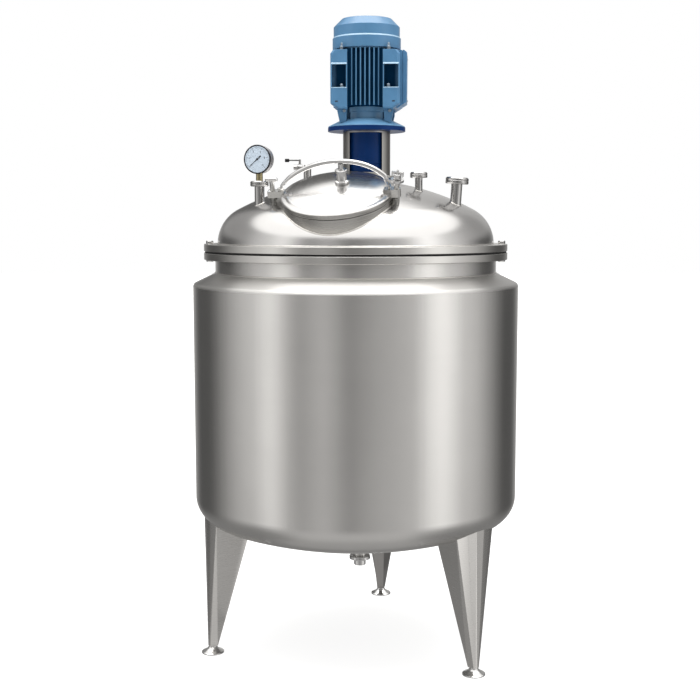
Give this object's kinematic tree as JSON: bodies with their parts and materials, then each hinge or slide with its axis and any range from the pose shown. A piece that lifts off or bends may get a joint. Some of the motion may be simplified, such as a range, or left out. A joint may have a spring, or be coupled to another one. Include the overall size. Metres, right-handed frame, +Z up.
{
  "type": "vacuum mixing tank",
  "caption": "Jacketed upright mixing tank on three legs, with a dished lid, hinged manway, nozzles, gauge and a top-mounted agitator motor.",
  "frame": {"origin": "on the floor under the vessel's axis", "axes": "+Z up, -Y towards the manway side that the picture shows, +X to the right as seen from there"},
  "size_m": [1.2, 1.2, 2.3335],
  "materials": {
    "brushed_stainless": "brushed",
    "polished_stainless": "polished",
    "motor_blue": "gloss paint",
    "drive_blue": "gloss paint",
    "black_rubber": "matte",
    "brass": "machined",
    "dial": "satin"
  },
  "bodies": {
    "tank": {"agitator_shaft": "polished_stainless", "clamp_barrel": "polished_stainless", "coupling_housing": "drive_blue", "dome_flange": "brushed_stainless", "dome_head": "brushed_stainless", "drive_pad": "brushed_stainless", "fan_cover": "motor_blue", "flange_gasket": "black_rubber", "foot_back": "polished_stainless", "foot_left": "polished_stainless", "foot_right": "polished_stainless", "gauge_case": "polished_stainless", "gauge_clamp": "polished_stainless", "gauge_dial": "dial", "gauge_nozzle": "brushed_stainless", "gauge_stem": "brass", "jacket_bottom": "brushed_stainless", "jacket_shoulder": "brushed_stainless", "jacket_wall": "brushed_stainless", "lantern": "brushed_stainless", "large_nozzle": "brushed_stainless", "large_nozzle_cap": "polished_stainless", "leg_back": "brushed_stainless", "leg_left": "brushed_stainless", "leg_right": "brushed_stainless", "manway_gasket": "black_rubber", "manway_neck": "brushed_stainless", "motor_flange": "drive_blue", "motor_frame": "motor_blue", "motor_neck": "motor_blue", "outlet_cap": "polished_stainless", "outlet_clamp": "polished_stainless", "outlet_pipe": "brushed_stainless", "paddle": "brushed_stainless", "pivot_barrel": "polished_stainless", "small_nozzle": "brushed_stainless", "small_nozzle_cap": "polished_stainless", "terminal_box": "motor_blue", "valve_body": "polished_stainless", "valve_nozzle": "brushed_stainless", "vessel_bottom": "brushed_stainless", "vessel_flange": "brushed_stainless", "vessel_wall": "brushed_stainless"},
    "pivot_pin": {"pivot_pin": "polished_stainless"},
    "manway_lid": {"manway_lid": "brushed_stainless", "lid_boss": "polished_stainless", "lifting_arch": "polished_stainless", "pivot_lug": "polished_stainless", "clamp_lug": "polished_stainless", "clamp_plate": "polished_stainless"},
    "pivot_knob": {"pivot_knob": "polished_stainless"},
    "wing_screw": {"wing_screw": "polished_stainless"},
    "valve_lever": {"valve_lever": "polished_stainless"}
  },
  "joints": [
    {"name": "lid_rise", "type": "slide", "parent": "tank", "child": "pivot_pin", "axis": [-0.0856, -0.3993, 0.9128], "range_m": [0, 0.012]},
    {"name": "lid_swing", "type": "hinge", "parent": "pivot_pin", "child": "manway_lid", "pos_m": [-0.28481, -0.3071, 1.692], "axis": [0.0856, 0.3993, -0.9128], "range_deg": [0, 100]},
    {"name": "knob_turn", "type": "hinge", "parent": "pivot_pin", "child": "pivot_knob", "pos_m": [-0.28481, -0.3071, 1.692], "axis": [-0.0856, -0.3993, 0.9128], "continuous": true},
    {"name": "wing_screw_turn", "type": "hinge", "parent": "manway_lid", "child": "wing_screw", "pos_m": [0.13701, -0.39753, 1.692], "axis": [0.0445, -0.4235, 0.9048], "continuous": true},
    {"name": "lever_turn", "type": "hinge", "parent": "tank", "child": "valve_lever", "pos_m": [-0.2058, 0.004, 1.8026], "axis": [0, 0, 1], "range_deg": [0, 90]}
  ],
  "couplings": [
    {"joint": "lid_rise", "follows": "lid_swing", "m_per_rad": 0.006875}
  ]
}
